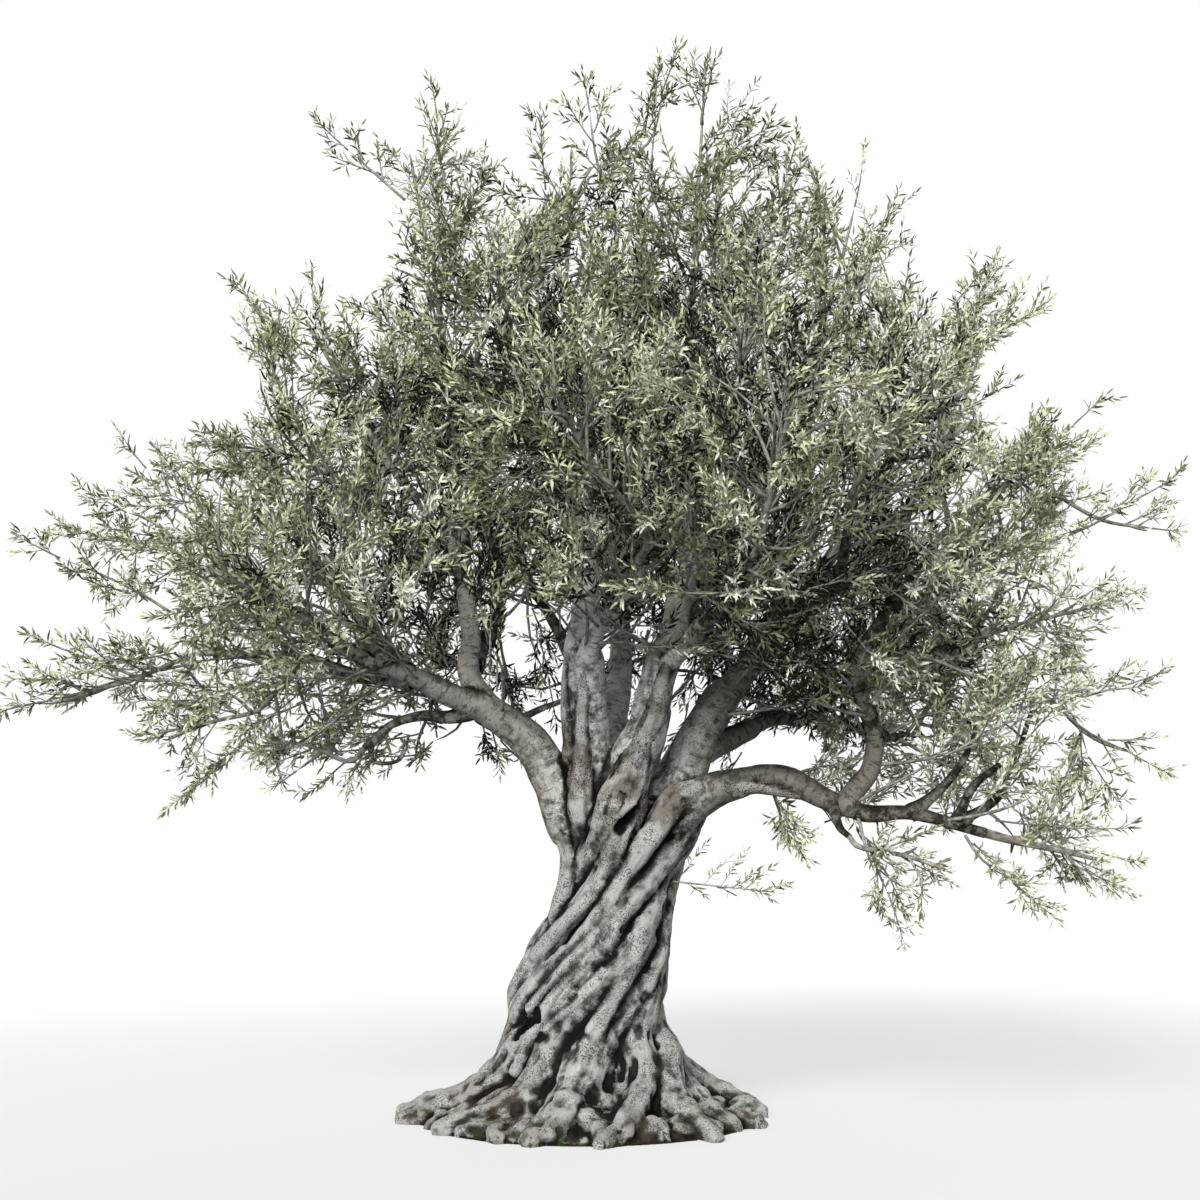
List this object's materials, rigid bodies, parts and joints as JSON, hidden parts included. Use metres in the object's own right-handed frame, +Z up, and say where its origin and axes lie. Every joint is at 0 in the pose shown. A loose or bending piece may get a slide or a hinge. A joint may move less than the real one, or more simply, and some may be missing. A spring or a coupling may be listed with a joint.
{
  "type": "olive tree",
  "caption": "Old olive tree with a twisted trunk on a broad root flare, spreading forked boughs and an open domed crown of narrow grey-green leaves.",
  "frame": {"origin": "middle of the flat cut under the trunk, at ground level", "axes": "+Z up along the tree's height, +X along the crown's greatest width, -Y the side the tree is best seen from"},
  "size_m": [6.0888, 4.7269, 5.5855],
  "materials": {
    "trunk_bark": "rough, deeply furrowed grey bark",
    "bough_bark": "rough pale grey bark",
    "foliage": "matt grey-green leaves on thin grey twigs"
  },
  "bodies": {
    "root": {"bough_back_left": "bough_bark", "bough_back_main": "bough_bark", "bough_back_right": "bough_bark", "bough_centre_back": "bough_bark", "bough_centre_front": "bough_bark", "bough_centre_left": "bough_bark", "bough_centre_right": "bough_bark", "bough_front_right": "bough_bark", "bough_left_back": "bough_bark", "bough_left_crown": "bough_bark", "bough_left_drop": "bough_bark", "bough_left_high": "bough_bark", "bough_left_low": "bough_bark", "bough_left_main": "bough_bark", "bough_left_reach": "bough_bark", "bough_left_rising": "bough_bark", "bough_left_upright": "bough_bark", "bough_low_right": "bough_bark", "bough_right_front": "bough_bark", "bough_right_inner": "bough_bark", "bough_right_lower": "bough_bark", "bough_right_main": "bough_bark", "bough_right_reach": "bough_bark", "bough_right_rising": "bough_bark", "bough_right_spray": "bough_bark", "bough_right_under": "bough_bark", "bough_top_centre": "bough_bark", "bough_top_left": "bough_bark", "bough_top_right": "bough_bark", "foliage_back_far": "foliage", "foliage_back_left": "foliage", "foliage_back_middle": "foliage", "foliage_back_right": "foliage", "foliage_crown_left": "foliage", "foliage_crown_right": "foliage", "foliage_crown_top": "foliage", "foliage_crown_top_left": "foliage", "foliage_front_corner": "foliage", "foliage_front_middle": "foliage", "foliage_heart_left": "foliage", "foliage_heart_right": "foliage", "foliage_left_arm": "foliage", "foliage_left_behind": "foliage", "foliage_left_fringe": "foliage", "foliage_left_front": "foliage", "foliage_left_middle": "foliage", "foliage_left_shoulder": "foliage", "foliage_left_skirt": "foliage", "foliage_left_upper": "foliage", "foliage_right_arm": "foliage", "foliage_right_corner": "foliage", "foliage_right_fringe": "foliage", "foliage_right_heart": "foliage", "foliage_right_hem": "foliage", "foliage_right_high": "foliage", "foliage_right_middle": "foliage", "foliage_right_side": "foliage", "foliage_right_tip": "foliage", "foliage_trunk_sprig": "foliage", "trunk": "trunk_bark"}
  },
  "joints": []
}
